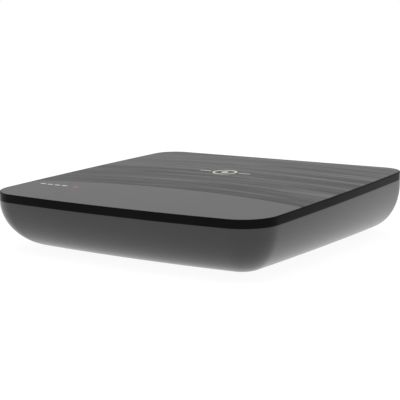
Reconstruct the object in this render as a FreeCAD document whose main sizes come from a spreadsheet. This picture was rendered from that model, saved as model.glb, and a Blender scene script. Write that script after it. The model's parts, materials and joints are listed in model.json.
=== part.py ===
import FreeCAD, Part
import math
import os
import re
import Sketcher

# A compact 4-channel video recorder in a plastic case.
# Frame: origin at the bottom centre of the whole recorder, +Z up, the front faces -Y, the sockets face +Y.
# All sizes are in millimetres.

Vector = FreeCAD.Vector

DIMENSIONS = [
    # case outline and section
    ("case_width", 200), ("case_depth", 203), ("case_shift", -2.75),
    ("front_bulge", 3), ("side_bulge", 1.3),
    ("front_corner", 22.5), ("rear_corner", 17), ("floor_front_corner", 3), ("floor_rear_corner", 9),
    ("top_height", 39.6), ("top_slope", 1.8), ("rim_height", 5.1),
    ("side_inset", 30.5), ("front_inset", 34), ("rear_inset", 1.5),
    ("shell_wall", 2.2), ("cover_plate", 2.3), ("cover_wall", 2.6),
    ("lip_gap", 0.2), ("lip_wall", 1.4), ("lip_depth", 2.6),
    ("edge_round", 0.6), ("deck_recess", 0.6), ("deck_border", 0.9),
    ("band_radius", 302), ("band_centre_y", -339.75), ("band_gap", 0.15),
    # feet
    ("foot_height", 1.5), ("foot_sunk", 0.8), ("foot_radius", 7), ("foot_x", 50), ("foot_y", 50),
    # wall keyholes and floor vents
    ("keyhole_x", 55), ("keyhole_radius", 3.75), ("keyhole_slot", 4), ("keyhole_reach", 9),
    ("vent_width", 2), ("vent_length", 26), ("vent_pitch", 5), ("vent_y", 56),
    # cover towers, screws and front hooks
    ("boss_root", 3), ("ledge_out", 91.3), ("tower_radius", 3.8), ("tower_top", 22), ("tower_seat", 16), ("tower_x", 74), ("tower_y", 76),
    ("hook_pitch", 55), ("hook_width", 12), ("hook_reach", 0.8),
    ("pilot_radius", 1.27), ("clear_radius", 1.7), ("head_radius", 3), ("head_height", 2),
    ("shank_radius", 1.25), ("cover_screw_length", 11), ("board_screw_length", 5),
    # rear opening and panel
    ("opening_half", 77), ("opening_low", 9.7), ("opening_high", 35.2),
    ("panel_rear", 95.6), ("panel_thick", 1), ("panel_half", 84), ("panel_low_half", 76.2),
    ("panel_low", 8), ("panel_high", 36), ("panel_step", 20), ("panel_step_half", 82), ("panel_top_step", 28),
    # main board
    ("board_half", 78), ("board_front", 28), ("board_rear", 94.4), ("board_low", 8.4), ("board_thick", 1.6),
    ("board_corner", 2), ("board_hole_x", 72), ("board_hole_front", 32),
    ("board_rear_hole_x", 67), ("board_hole_rear", 76),
    # sockets, centres along the rear edge
    ("socket_face", 94.4), ("bnc_first_x", 29.6), ("bnc_pitch", 13), ("bnc_height", 18.5), ("bnc_tip", 107.25),
    ("bnc_radius", 4.8), ("bnc_bore", 4.05), ("bnc_core", 2.5), ("bnc_stud", 5.5),
    ("rca_x", 17.5), ("rca_low", 16), ("rca_pitch", 13), ("rca_radius", 4.15), ("rca_bore", 3.3),
    ("rca_tip", 104), ("vga_x", -3.5), ("vga_height", 16.3), ("jackscrew_spacing", 24.99),
    ("hdmi_x", -27), ("usb_x", -41.75), ("lan_x", -57), ("dc_x", -70.35), ("dc_height", 16),
    ("dc_bore", 3.15), ("dc_pin", 1), ("ground_x", -57), ("ground_height", 29.5),
    # power switch
    ("switch_x", -27), ("switch_height", 28.3), ("flange_width", 15), ("flange_height", 10.6),
    ("flange_thick", 1.4), ("switch_width", 13.4), ("switch_tall", 8.8), ("switch_depth", 9),
    ("rocker_width", 7.4), ("rocker_pivot", 94.6), ("rocker_tilt", 8), ("rocker_pin", 1), ("fit_gap", 0.05),
    # status light
    ("light_x", -60), ("light_y", -62.75), ("pipe_radius", 0.9), ("pipe_low", 35.8),
    ("lamp_board_low", 33.6), ("lamp_board_thick", 0.8),
    # hard disk drive
    ("drive_left", -70.5), ("drive_front", -76.95), ("drive_low", 6.5),
    ("drive_length", 147), ("drive_width", 101.6), ("drive_height", 26.1),
    ("disk_offset", 51), ("disk_radius", 47.5), ("disk_thick", 1.3), ("disk_pitch", 4.5), ("disk_low", 17.5),
    ("disk_room", 48.8), ("hub_radius", 14), ("shaft_radius", 3), ("drive_lid", 1.2), ("drive_floor", 6),
    ("arm_x", -26), ("arm_y", -8.15), ("arm_length", 51), ("arm_rest", -75.1),
    ("drive_hole_x", 41.28), ("drive_hole_pitch", 44.45), ("drive_hole_span", 95.25),
    # cables between the drive, the status light and the board
    ("lead_x", -74.5), ("data_start", -8), ("data_end", 41), ("data_run", 24), ("data_radius", 2.2),
    ("power_start", -29), ("power_end", 54), ("power_run", 30), ("wire_radius", 0.75), ("wire_pitch", 1.7),
    ("bend_radius", 5), ("ribbon_width", 3.6), ("ribbon_thick", 0.9), ("ribbon_end", 66),
]

doc = FreeCAD.newDocument("recorder")
sheet = doc.addObject("Spreadsheet::Sheet", "Dims")
for row, (alias, number) in enumerate(DIMENSIONS, start=1):
    sheet.set("A%d" % row, alias)
    sheet.set("B%d" % row, str(number))
    sheet.setAlias("B%d" % row, alias)
doc.recompute()

ALIASES = {alias for alias, number in DIMENSIONS}
subparts = []


# ---------------------------------------------------------------- helpers

def size(alias):
    """The value of one cell."""
    return float(sheet.get(alias))


def named(formula):
    """A formula of aliases, with each alias pointing at the sheet."""
    return re.sub(r"[a-z][a-z_]*", lambda word: "Dims." + word.group() if word.group() in ALIASES
                  else word.group(), str(formula))


def value(formula):
    """The number that a formula of aliases gives now."""
    return float(sheet.evalExpression(named(formula)))


def bind(item, **formulas):
    """Bind properties to formulas; a double underscore stands for a dot."""
    for name, formula in formulas.items():
        item.setExpression(name.replace("__", "."), named(formula))


def move(item, at):
    bind(item, Placement__Base__x=at[0], Placement__Base__y=at[1], Placement__Base__z=at[2])
    return item


def block(name, lengths, corner):
    """A box from its lowest corner."""
    box = doc.addObject("Part::Box", name)
    bind(box, Length=lengths[0], Width=lengths[1], Height=lengths[2])
    return move(box, corner)


TURNS = {"X": (Vector(0, 1, 0), 90), "Y": (Vector(1, 0, 0), -90), "Z": (Vector(0, 0, 1), 0)}


def rod(name, radius, length, base, along="Z"):
    """A cylinder that starts at base and runs towards + on the named axis."""
    item = doc.addObject("Part::Cylinder", name)
    bind(item, Radius=radius, Height=length)
    item.Placement = FreeCAD.Placement(Vector(), FreeCAD.Rotation(*TURNS[along]))
    return move(item, base)


def fused(name, items):
    item = doc.addObject("Part::MultiFuse", name)
    item.Shapes = items
    return item


def less(name, base, tools):
    """The base with one tool, or the fused tools, cut away."""
    item = doc.addObject("Part::Cut", name)
    item.Base = base
    item.Tool = tools[0] if len(tools) == 1 else fused(name + "_tools", tools)
    return item


def group(name, items):
    """Separate solids that share one node."""
    item = doc.addObject("Part::Compound", name)
    item.Links = items
    return item


def computed(name, shape):
    """A shape made with Part's own functions, because its form is not a primitive or a sketch."""
    item = doc.addObject("Part::Feature", name)
    item.Shape = shape
    item.Placement = FreeCAD.Placement()
    return item


def subpart(label, item):
    item.Label = label
    subparts.append(item)
    return item


def copies(name, item, places):
    """Links to one item, placed by formulas, as one group."""
    links = []
    for number, place in enumerate(places):
        link = doc.addObject("App::Link", "%s_%d" % (name, number))
        link.LinkedObject = item
        links.append(move(link, place))
    return group(name, links)


def polygon_face(points):
    return Part.Face(Part.makePolygon(points + [points[0]]))


def across(name, outline, y_start, length):
    """An outline of (x, z) formulas extruded towards +Y."""
    points = [Vector(value(x), value(y_start), value(z)) for x, z in outline]
    return computed(name, polygon_face(points).extrude(Vector(0, value(length), 0)))


# ---------------------------------------------------------------- sketched bodies

def new_body(name):
    return doc.addObject("PartDesign::Body", name)


def new_sketch(body, name, role):
    plane = [item for item in body.Origin.OriginFeatures if item.Role == role][0]
    sketch = body.newObject("Sketcher::SketchObject", name)
    sketch.AttachmentSupport = [(plane, "")]
    sketch.MapMode = "FlatFace"
    return sketch


def hold(sketch, kind, geometry, vertex, formula, name):
    """Dimension one point from the sketch's origin."""
    index = sketch.addConstraint(Sketcher.Constraint(kind, -1, 1, geometry, vertex, value(formula)))
    sketch.renameConstraint(index, name)
    bind(sketch, **{"Constraints__" + name: formula})


def draw_polygon(sketch, corners):
    """A closed polygon whose corners are held by formulas."""
    first = sketch.GeometryCount
    count = len(corners)
    places = [Vector(value(x), value(y), 0) for x, y in corners]
    for number in range(count):
        sketch.addGeometry(Part.LineSegment(places[number], places[(number + 1) % count]), False)
    for number in range(count):
        following = first + (number + 1) % count
        sketch.addConstraint(Sketcher.Constraint("Coincident", first + number, 2, following, 1))
    for number, (x, y) in enumerate(corners):
        hold(sketch, "DistanceX", first + number, 1, x, "x%d" % (first + number))
        hold(sketch, "DistanceY", first + number, 1, y, "y%d" % (first + number))


def draw_circle(sketch, centre, radius):
    x, y = centre
    index = sketch.addGeometry(Part.Circle(Vector(value(x), value(y), 0), Vector(0, 0, 1), value(radius)), False)
    number = sketch.addConstraint(Sketcher.Constraint("Radius", index, value(radius)))
    name = "r%d" % index
    sketch.renameConstraint(number, name)
    bind(sketch, **{"Constraints__" + name: radius})
    hold(sketch, "DistanceX", index, 3, x, "x%d" % index)
    hold(sketch, "DistanceY", index, 3, y, "y%d" % index)


def rectangle(x_low, x_high, y_low, y_high):
    return [(x_low, y_low), (x_high, y_low), (x_high, y_high), (x_low, y_high)]


def pad(body, sketch, length, name):
    feature = body.newObject("PartDesign::Pad", name)
    feature.Profile = sketch
    bind(feature, Length=length)
    doc.recompute()
    return feature


def pocket_through(body, sketch, name):
    """A pocket right through, turned round if it misses the solid."""
    before = body.Shape.Volume
    feature = body.newObject("PartDesign::Pocket", name)
    feature.Profile = sketch
    feature.Type = "ThroughAll"
    doc.recompute()
    if body.Shape.Volume > before - 1e-6:
        feature.Reversed = True
        doc.recompute()
    if body.Shape.Volume > before - 1e-6:
        raise RuntimeError(name + " cuts nothing")
    return feature


def turned_body(name, profile):
    """A body of revolution about Z from an (r, z) profile."""
    body = new_body(name)
    sketch = new_sketch(body, name + "_profile", "XZ_Plane")
    draw_polygon(sketch, profile)
    feature = body.newObject("PartDesign::Revolution", name + "_turn")
    feature.Profile = sketch
    feature.ReferenceAxis = (sketch, ["V_Axis"])
    feature.Angle = 360
    doc.recompute()
    return body


def screw_body(name, length):
    """A pan-head screw: head below z = 0, shank above."""
    return turned_body(name, [(0, "-head_height"), ("head_radius-0.4", "-head_height"),
                              ("head_radius", "0.4-head_height"), ("head_radius", 0),
                              ("shank_radius", 0), ("shank_radius", length + "-0.5"),
                              ("shank_radius-0.5", length), (0, length)])


# ---------------------------------------------------------------- the case's curves

FOOT = size("foot_height")
SHIFT = size("case_shift")
SLOPE = math.tan(math.radians(size("top_slope")))
WALL = size("shell_wall")
SECTION_ANGLES = [0, 15, 30, 45, 60, 72, 82, 90]


def top_plane(y):
    """Height of the top at a distance y behind the case's middle."""
    return FOOT + size("top_height") + SLOPE * y


def rim_plane(y):
    return top_plane(y) - size("rim_height")


def unit(vector):
    return Vector(vector).normalize()


def outline(half, front, rear, front_radius, rear_radius, height):
    """The closed plan curve: a bulged front and sides, round corners and a straight back.

    half, front and rear are the corners' outermost lines; height(y) places each point.
    """
    bulge = size("front_bulge")
    corner = Vector(half - front_radius, front + front_radius, 0)
    back_corner = Vector(half - rear_radius, rear - rear_radius, 0)
    front_curve = (corner.x ** 2 + (bulge + front_radius) ** 2 - front_radius ** 2) / (2 * bulge)
    front_centre = Vector(0, front - bulge + front_curve, 0)
    chord = back_corner.distanceToPoint(corner)
    side_bulge = size("side_bulge")
    side_curve = chord ** 2 / (8 * side_bulge) + (front_radius + rear_radius) / 2
    # the side's centre lies where both corner circles are touched from outside
    reach_front = side_curve - front_radius
    reach_rear = side_curve - rear_radius
    along = (reach_front ** 2 - reach_rear ** 2 + chord ** 2) / (2 * chord)
    aside = math.sqrt(reach_front ** 2 - along ** 2)
    line = unit(back_corner - corner)
    side_centre = corner + line * along + Vector(-line.y, line.x, 0) * aside

    def touch(centre, radius, from_centre):
        return centre + unit(centre - from_centre) * radius

    front_end = touch(corner, front_radius, front_centre)
    side_start = touch(corner, front_radius, side_centre)
    side_end = touch(back_corner, rear_radius, side_centre)
    back_end = back_corner + Vector(0, rear_radius, 0)
    corner_middle = corner + unit((front_end + side_start) * 0.5 - corner) * front_radius
    back_middle = back_corner + unit((side_end + back_end) * 0.5 - back_corner) * rear_radius
    side_middle = side_centre + unit((side_start + side_end) * 0.5 - side_centre) * side_curve
    front_tip = Vector(0, front - bulge, 0)

    def place(point, mirrored=False):
        return Vector(-point.x if mirrored else point.x, point.y + SHIFT, height(point.y))

    right = [(front_end, corner_middle, side_start), (side_start, side_middle, side_end),
             (side_end, back_middle, back_end)]
    edges = [Part.Arc(place(front_end, True), place(front_tip), place(front_end)).toShape()]
    edges += [Part.Arc(*[place(point) for point in run]).toShape() for run in right]
    edges.append(Part.makeLine(place(back_end), place(back_end, True)))
    edges += [Part.Arc(*[place(point, True) for point in reversed(run)]).toShape() for run in reversed(right)]
    return Part.Wire(edges)


def case_bowl(inset):
    """The bowl under the rim: quarter-ellipse sections, smaller all round by inset."""
    half = size("case_width") / 2
    reach = size("case_depth") / 2
    wires = []
    for angle in SECTION_ANGLES:
        inward = 1 - math.cos(math.radians(angle))
        downward = math.sin(math.radians(angle))
        side = inset + (size("side_inset") - inset) * inward
        front = inset + (size("front_inset") - inset) * inward
        front_radius = size("front_corner") * (1 - inward) + size("floor_front_corner") * inward - inset
        rear_radius = size("rear_corner") * (1 - downward) + size("floor_rear_corner") * downward - inset

        def height(y, downward=downward):
            depth = rim_plane(y) - FOOT
            return rim_plane(y) - (depth - inset) * downward

        wires.append(outline(half - side, front - reach, reach - inset - size("rear_inset") * inward,
                             max(front_radius, 1), max(rear_radius, 1), height))
    return Part.makeLoft(wires, True, False)


def case_prism(inset, low, high):
    """The rim's outline, smaller by inset, from low to high above the rim's lower edge."""
    half = size("case_width") / 2
    reach = size("case_depth") / 2
    wire = outline(half - inset, inset - reach, reach - inset, size("front_corner") - inset,
                   size("rear_corner") - inset, lambda y: rim_plane(y) + low)
    return Part.Face(wire).extrude(Vector(0, 0, high - low))


def upright(x, y, low, high, radius):
    return Part.makeCylinder(radius, high - low, Vector(x, y, low))


def tower_places():
    """The two screw towers at the back; hooks hold the cover's front."""
    return [(side * size("tower_x"), size("tower_y")) for side in (-1, 1)]


def front_hooks(inset, slack):
    """Pieces of a rim-shaped ring behind the front wall, where the cover's hooks catch."""
    low = 0.6 - size("lip_depth") - slack
    ring = case_prism(inset, low, low + 1 + 2 * slack)
    ring = ring.cut(case_prism(WALL + size("lip_gap") + 0.6, low - 1, low + 3))
    width = size("hook_width") + 2 * slack
    front = SHIFT - size("case_depth") / 2 - size("front_bulge")
    return [ring.common(Part.makeBox(width, 12, 30, Vector(number * size("hook_pitch") - width / 2, front, 20)))
            for number in (-1, 0, 1)]


def drive_hole_places():
    """The four threaded holes in the drive's underside."""
    first = size("drive_left") + size("drive_hole_x")
    middle = size("drive_front") + size("drive_width") / 2
    half_span = size("drive_hole_span") / 2
    return [(first + column * size("drive_hole_pitch"), middle + side * half_span)
            for column in (0, 1) for side in (-1, 1)]


BOARD_HOLES = [(sign + x, y) for x, y in (("board_hole_x", "board_hole_front"),
                                          ("board_rear_hole_x", "board_hole_rear")) for sign in ("-", "+")]


def board_hole_places():
    return [(value(x), value(y)) for x, y in BOARD_HOLES]


# ---------------------------------------------------------------- case

def make_bottom_shell():
    floor = FOOT + WALL
    shell = case_bowl(0).cut(case_bowl(WALL))
    # bosses start inside the floor's thickness
    root = size("boss_root")
    radius = size("tower_radius")
    bosses = [upright(x, y, root, size("tower_top"), radius) for x, y in tower_places()]
    bosses += [upright(x, y, root, size("drive_low"), radius) for x, y in drive_hole_places()]
    bosses += [upright(x, y, root, size("board_low"), radius) for x, y in board_hole_places()]
    # ledges in the back corners hold the rear panel against the wall
    ledge_depth = 4
    panel_front = size("panel_rear") - size("panel_thick")
    ledge_in, ledge_out = size("panel_half") - 1, size("ledge_out")
    for low_x in (ledge_in, -ledge_out):
        bosses.append(Part.makeBox(ledge_out - ledge_in, ledge_depth, 8,
                                   Vector(low_x, panel_front - ledge_depth - 0.1, 22)))
    shell = shell.fuse(bosses)
    holes = []
    for x, y in tower_places():
        holes.append(upright(x, y, FOOT - 1, size("tower_top") + 1, size("clear_radius")))
        holes.append(upright(x, y, FOOT - 1, size("tower_seat"), size("head_radius") + 0.3))
    for x, y in drive_hole_places():
        holes.append(upright(x, y, 0, size("drive_low") + 1, size("clear_radius")))
        holes.append(upright(x, y, 0, size("drive_low") - 2.2, size("head_radius") + 0.3))
    for x, y in board_hole_places():
        holes.append(upright(x, y, floor + 0.4, size("board_low") + 1, size("pilot_radius")))
    for x in (-size("foot_x"), size("foot_x")):
        for y in (-size("foot_y"), size("foot_y")):
            holes.append(upright(x, y, 0, FOOT + size("foot_sunk"), size("foot_radius") + 0.1))
    slot = size("keyhole_slot")
    for side in (-1, 1):
        x = side * size("keyhole_x")
        holes.append(upright(x, 0, 0, floor + 0.5, size("keyhole_radius")))
        holes.append(Part.makeBox(slot, size("keyhole_reach"), floor, Vector(x - slot / 2, 0, 0.5)))
        holes.append(upright(x, size("keyhole_reach"), 0, floor + 0.5, slot / 2))
    width = size("vent_width")
    for number in range(-4, 5):
        x = number * size("vent_pitch") - width / 2
        holes.append(Part.makeBox(width, size("vent_length"), floor, Vector(x, size("vent_y"), 0.5)))
    holes += front_hooks(WALL + size("lip_gap") - size("hook_reach") - 0.2, 0.2)
    shell = shell.cut(holes)
    half = size("opening_half")
    opening = Part.makeBox(2 * half, 14, size("opening_high") - size("opening_low"),
                           Vector(-half, size("panel_rear"), size("opening_low")))
    shell = shell.cut(opening).removeSplitter()
    if len(shell.Solids) != 1 or shell.Volume < 90000:
        raise RuntimeError("the bottom shell is not whole")
    return subpart("bottom_shell", computed("bottom_shell", shell))


def deck_region():
    return case_prism(size("deck_border"), size("rim_height") - size("deck_recess"), size("rim_height"))


def on_top(edge):
    """Whether an edge lies in the top plane."""
    return all(abs(point.z - top_plane(point.y - SHIFT)) < 0.01 for point in edge.discretize(3))


def make_top_cover():
    rim = size("rim_height")
    outer = case_prism(0, 0, rim)
    outer = outer.makeFillet(size("edge_round"), [edge for edge in outer.Edges if on_top(edge)])
    hollow = case_prism(size("cover_wall"), -1, rim - size("cover_plate"))
    lip_outside = WALL + size("lip_gap")
    depth = size("lip_depth")
    lip = case_prism(lip_outside, -depth, 1).cut(case_prism(lip_outside + size("lip_wall"), -depth - 1, 2))
    hooks = front_hooks(lip_outside - size("hook_reach"), 0)
    cover = outer.cut(hollow).fuse([lip] + hooks)
    posts = []
    holes = [deck_region()]
    for x, y in tower_places():
        posts.append(upright(x, y, size("tower_top") + 0.3, rim_plane(y - SHIFT) + rim - 1, size("tower_radius")))
        holes.append(upright(x, y, size("tower_top"), size("tower_top") + 9, size("pilot_radius")))
    lamp_low = size("lamp_board_low")
    lamp_high = lamp_low + size("lamp_board_thick")
    for offset in (-10, 4):
        x = size("light_x") + offset
        y = size("light_y")
        posts.append(upright(x, y, lamp_high, rim_plane(y - SHIFT) + rim - 1, 1.8))
        posts.append(upright(x, y, lamp_low - 0.4, lamp_high, 0.7))
    cover = cover.fuse(posts)
    holes.append(upright(size("light_x"), size("light_y"), 30, 50, size("pipe_radius") + 0.05))
    return subpart("top_cover", computed("top_cover", cover.cut(holes).removeSplitter()))


def band_disc(radius):
    return Part.makeCylinder(radius, 60, Vector(0, size("band_centre_y"), 10))


def make_deck():
    """The brushed top panel and the smooth front band, parted along one arc."""
    gap = size("band_gap") / 2
    region = deck_region()
    band = region.common(band_disc(size("band_radius") - gap))
    pipe_hole = upright(size("light_x"), size("light_y"), 30, 50, size("pipe_radius") + 0.05)
    subpart("front_band", computed("front_band", band.cut(pipe_hole)))
    subpart("top_panel", computed("top_panel", region.cut(band_disc(size("band_radius") + gap))))


def make_status_light():
    x, y = size("light_x"), size("light_y")
    pipe = upright(x, y, size("pipe_low"), 50, size("pipe_radius"))
    pipe = pipe.common(case_prism(5, -20, size("rim_height")))
    collar = upright(x, y, size("pipe_low"), size("pipe_low") + 0.8, 1.5)
    subpart("status_light_pipe", computed("status_light_pipe", pipe.fuse(collar).removeSplitter()))
    plate = block("status_plate", ("24", "8", "lamp_board_thick"), ("light_x-18", "light_y-4", "lamp_board_low"))
    pins = [rod("status_pin_%d" % number, "0.75", "3", ("light_x%+d" % offset, "light_y", "lamp_board_low-1"))
            for number, offset in enumerate((-10, 4))]
    subpart("status_board", less("status_board", plate, pins))
    subpart("status_lamp", block("status_lamp", ("2", "1.6", "1"),
                                 ("light_x-1", "light_y-0.8", "lamp_board_low+lamp_board_thick")))


def make_feet():
    foot = turned_body("foot", [(0, 0.4), ("foot_radius-2", 0.4), ("foot_radius-2", 0), ("foot_radius-0.6", 0),
                                ("foot_radius", 0.6), ("foot_radius", "foot_height+foot_sunk"),
                                (0, "foot_height+foot_sunk")])
    places = [(x, y, "0") for x in ("-foot_x", "foot_x") for y in ("-foot_y", "foot_y")]
    subpart("rubber_feet", copies("rubber_feet", foot, places))


def make_case_screws():
    screw = screw_body("cover_screw", "cover_screw_length")
    places = [(sign + "tower_x", "tower_y", "tower_seat-1") for sign in ("-", "+")]
    subpart("cover_screws", copies("cover_screws", screw, places))
    screw = turned_body("board_screw", [(0, 0), ("shank_radius", 0), ("shank_radius", "board_screw_length"),
                                        ("head_radius", "board_screw_length"),
                                        ("head_radius", "board_screw_length+1.6"),
                                        ("head_radius-0.6", "board_screw_length+2"),
                                        (0, "board_screw_length+2")])
    places = [(x, y, "board_low+board_thick-board_screw_length") for x, y in BOARD_HOLES]
    subpart("board_screws", copies("board_screws", screw, places))
    screw = screw_body("drive_screw", "5.5")
    columns = ("drive_left+drive_hole_x", "drive_left+drive_hole_x+drive_hole_pitch")
    rows = ("drive_front+drive_width/2-drive_hole_span/2", "drive_front+drive_width/2+drive_hole_span/2")
    subpart("hdd_screws", copies("hdd_screws", screw, [(x, y, "drive_low-2.2") for x in columns for y in rows]))


# ---------------------------------------------------------------- rear panel

def make_rear_panel():
    body = new_body("rear_panel")
    sketch = new_sketch(body, "panel_outline", "XZ_Plane")
    side = [("panel_low_half", "panel_low"), ("panel_step_half", "panel_step"),
            ("panel_half", "panel_top_step"), ("panel_half", "panel_high")]
    draw_polygon(sketch, [("-" + x, z) for x, z in reversed(side)] + side)
    pad(body, sketch, "panel_thick", "panel_pad")
    cuts = new_sketch(body, "panel_cuts", "XZ_Plane")
    for number in range(4):
        draw_circle(cuts, ("bnc_first_x+%d*bnc_pitch" % number, "bnc_height"), "bnc_stud+0.2")
    for number in range(2):
        draw_circle(cuts, ("rca_x", "rca_low+%d*rca_pitch" % number), "rca_radius+0.2")
    for sign in ("-", "+"):
        draw_circle(cuts, ("vga_x" + sign + "jackscrew_spacing/2", "vga_height"), "1.6")
    draw_circle(cuts, ("ground_x", "ground_height"), "1.5")
    draw_polygon(cuts, rectangle("vga_x-8.8", "vga_x+8.8", "vga_height-4.6", "vga_height+4.6"))
    draw_polygon(cuts, rectangle("hdmi_x-7.7", "hdmi_x+7.7", "board_low+board_thick-0.1", "16"))
    draw_polygon(cuts, rectangle("usb_x-6.9", "usb_x+6.9", "board_low+board_thick-0.1", "25.9"))
    draw_polygon(cuts, rectangle("lan_x-8.2", "lan_x+8.2", "board_low+board_thick-0.1", "23.8"))
    draw_polygon(cuts, rectangle("dc_x-4.9", "dc_x+4.9", "board_low+board_thick-0.1", "21.4"))
    draw_polygon(cuts, rectangle("switch_x-switch_width/2-0.15", "switch_x+switch_width/2+0.15",
                                 "switch_height-switch_tall/2-0.15", "switch_height+switch_tall/2+0.15"))
    pocket_through(body, cuts, "panel_holes")
    move(body, ("0", "panel_rear", "0"))
    return subpart("rear_panel", body)


# ---------------------------------------------------------------- main board

def make_main_board():
    body = new_body("main_board")
    sketch = new_sketch(body, "board_outline", "XY_Plane")
    # each side has a notch for a screw tower
    edge, notch, room = "board_half", "tower_x-tower_radius-0.3", "(tower_radius+0.3)"
    side = [(edge, "board_front"), (edge, "tower_y-" + room), (notch, "tower_y-" + room),
            (notch, "tower_y+" + room), (edge, "tower_y+" + room), (edge, "board_rear-board_corner"),
            ("board_half-board_corner", "board_rear")]
    draw_polygon(sketch, side + [("-(" + x + ")", y) for x, y in reversed(side)])
    pad(body, sketch, "board_thick", "board_pad")
    holes = new_sketch(body, "board_holes", "XY_Plane")
    for place in BOARD_HOLES:
        draw_circle(holes, place, "clear_radius-0.1")
    pocket_through(body, holes, "board_drilling")
    move(body, ("0", "0", "board_low"))
    subpart("main_board", body)


def on_board(name, lengths, centre):
    """A block standing on the board, placed by its middle."""
    x, y = centre
    return block(name, lengths, ("%s-%s/2" % (x, lengths[0]), "%s-%s/2" % (y, lengths[1]), "board_low+board_thick"))


def make_board_pieces():
    subpart("processor_chip", on_board("processor_chip", ("23", "23", "1.8"), ("2", "56")))
    body = new_body("processor_heatsink")
    base = new_sketch(body, "heatsink_base", "XY_Plane")
    draw_polygon(base, rectangle("-15", "15", "-14", "14"))
    pad(body, base, "2.5", "heatsink_plate")
    fin = new_sketch(body, "heatsink_fin", "XY_Plane")
    draw_polygon(fin, rectangle("-15", "-13.8", "-14", "14"))
    rib = pad(body, fin, "9", "heatsink_rib")
    pattern = body.newObject("PartDesign::LinearPattern", "heatsink_ribs")
    pattern.Originals = [rib]
    pattern.Direction = (base, ["H_Axis"])
    pattern.Length = 28.8
    pattern.Occurrences = 9
    body.Tip = pattern
    move(body, ("2", "56", "board_low+board_thick+1.8"))
    subpart("processor_heatsink", body)
    subpart("memory_chips", group("memory_chips", [
        on_board("memory_chip_%d" % number, ("9", "13", "1.1"), ("%d" % (24 + 12 * number), "58"))
        for number in range(2)]))
    subpart("video_decoder_chips", group("video_decoder_chips", [
        on_board("decoder_chip_%d" % number, ("12", "12", "1.4"), ("%d" % (36 + 20 * number), "74.5"))
        for number in range(2)]))
    subpart("flash_chip", on_board("flash_chip", ("6", "5", "1.8"), ("-20", "46")))
    subpart("electrolytic_capacitors", group("electrolytic_capacitors", [
        rod("capacitor_%d" % number, "3.15", "8", (str(x), str(y), "board_low+board_thick"))
        for number, (x, y) in enumerate([(-62, 66), (-54, 66), (-46, 66), (-62, 57)])]))
    subpart("power_inductors", group("power_inductors", [
        on_board("inductor_%d" % number, ("8", "8", "4.2"), ("%d" % (-52 + 11 * number), "38"))
        for number in range(3)]))
    subpart("lan_transformer", on_board("lan_transformer", ("12.5", "9", "6"), ("-57", "74")))
    cell_centre = ("52", "45")
    holder = rod("cell_holder_ring", "12", "3.2", cell_centre + ("board_low+board_thick",))
    room = rod("cell_holder_room", "10.1", "4", cell_centre + ("board_low+board_thick+1",))
    subpart("coin_cell_holder", less("coin_cell_holder", holder, [room]))
    subpart("coin_cell", rod("coin_cell", "10", "3.2", cell_centre + ("board_low+board_thick+1",)))
    buzzer = rod("buzzer_can", "6", "8.5", ("24", "40", "board_low+board_thick"))
    mouth = rod("buzzer_mouth", "1", "3", ("24", "40", "board_low+board_thick+7"))
    subpart("alarm_buzzer", less("alarm_buzzer", buzzer, [mouth]))
    subpart("board_headers", group("board_headers", [
        on_board("data_header", ("7", "8", "3"), ("lead_x", "data_end")),
        on_board("power_header", ("7", "9.8", "3"), ("lead_x", "power_end")),
        on_board("status_header", ("5", "5", "4"), ("lead_x", "ribbon_end"))]))


# ---------------------------------------------------------------- sockets

def make_bnc_sockets():
    housings, barrels, cores, contacts = [], [], [], []
    for number in range(4):
        x = "bnc_first_x+%d*bnc_pitch" % number
        tag = "bnc_%d_" % number
        housings.append(block(tag + "housing", ("12.6", "13", "15.5"), (x + "-6.3", "socket_face-13",
                                                                         "board_low+board_thick")))
        length = "bnc_tip-socket_face"
        barrel = rod(tag + "barrel", "bnc_radius", length, (x, "socket_face", "bnc_height"), "Y")
        studs = rod(tag + "studs", "1", "2*bnc_stud", (x, "bnc_tip-3.5", "bnc_height-bnc_stud"))
        room = rod(tag + "room", "bnc_bore", length, (x, "socket_face+2", "bnc_height"), "Y")
        seat = rod(tag + "seat", "bnc_core+0.03", "4", (x, "socket_face-1", "bnc_height"), "Y")
        barrels.append(less(tag + "shell", fused(tag + "outside", [barrel, studs]), [room, seat]))
        core = rod(tag + "core", "bnc_core", "9", (x, "socket_face", "bnc_height"), "Y")
        core_hole = rod(tag + "core_hole", "0.78", "11", (x, "socket_face-1", "bnc_height"), "Y")
        cores.append(less(tag + "insulator", core, [core_hole]))
        pin = rod(tag + "pin", "0.75", "9", (x, "socket_face", "bnc_height"), "Y")
        pin_hole = rod(tag + "pin_hole", "0.45", "6", (x, "socket_face+4", "bnc_height"), "Y")
        contacts.append(less(tag + "contact", pin, [pin_hole]))
    subpart("bnc_housings", group("bnc_housings", housings))
    subpart("bnc_barrels", group("bnc_barrels", barrels))
    subpart("bnc_insulators", group("bnc_insulators", cores))
    subpart("bnc_contacts", group("bnc_contacts", contacts))


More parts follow.
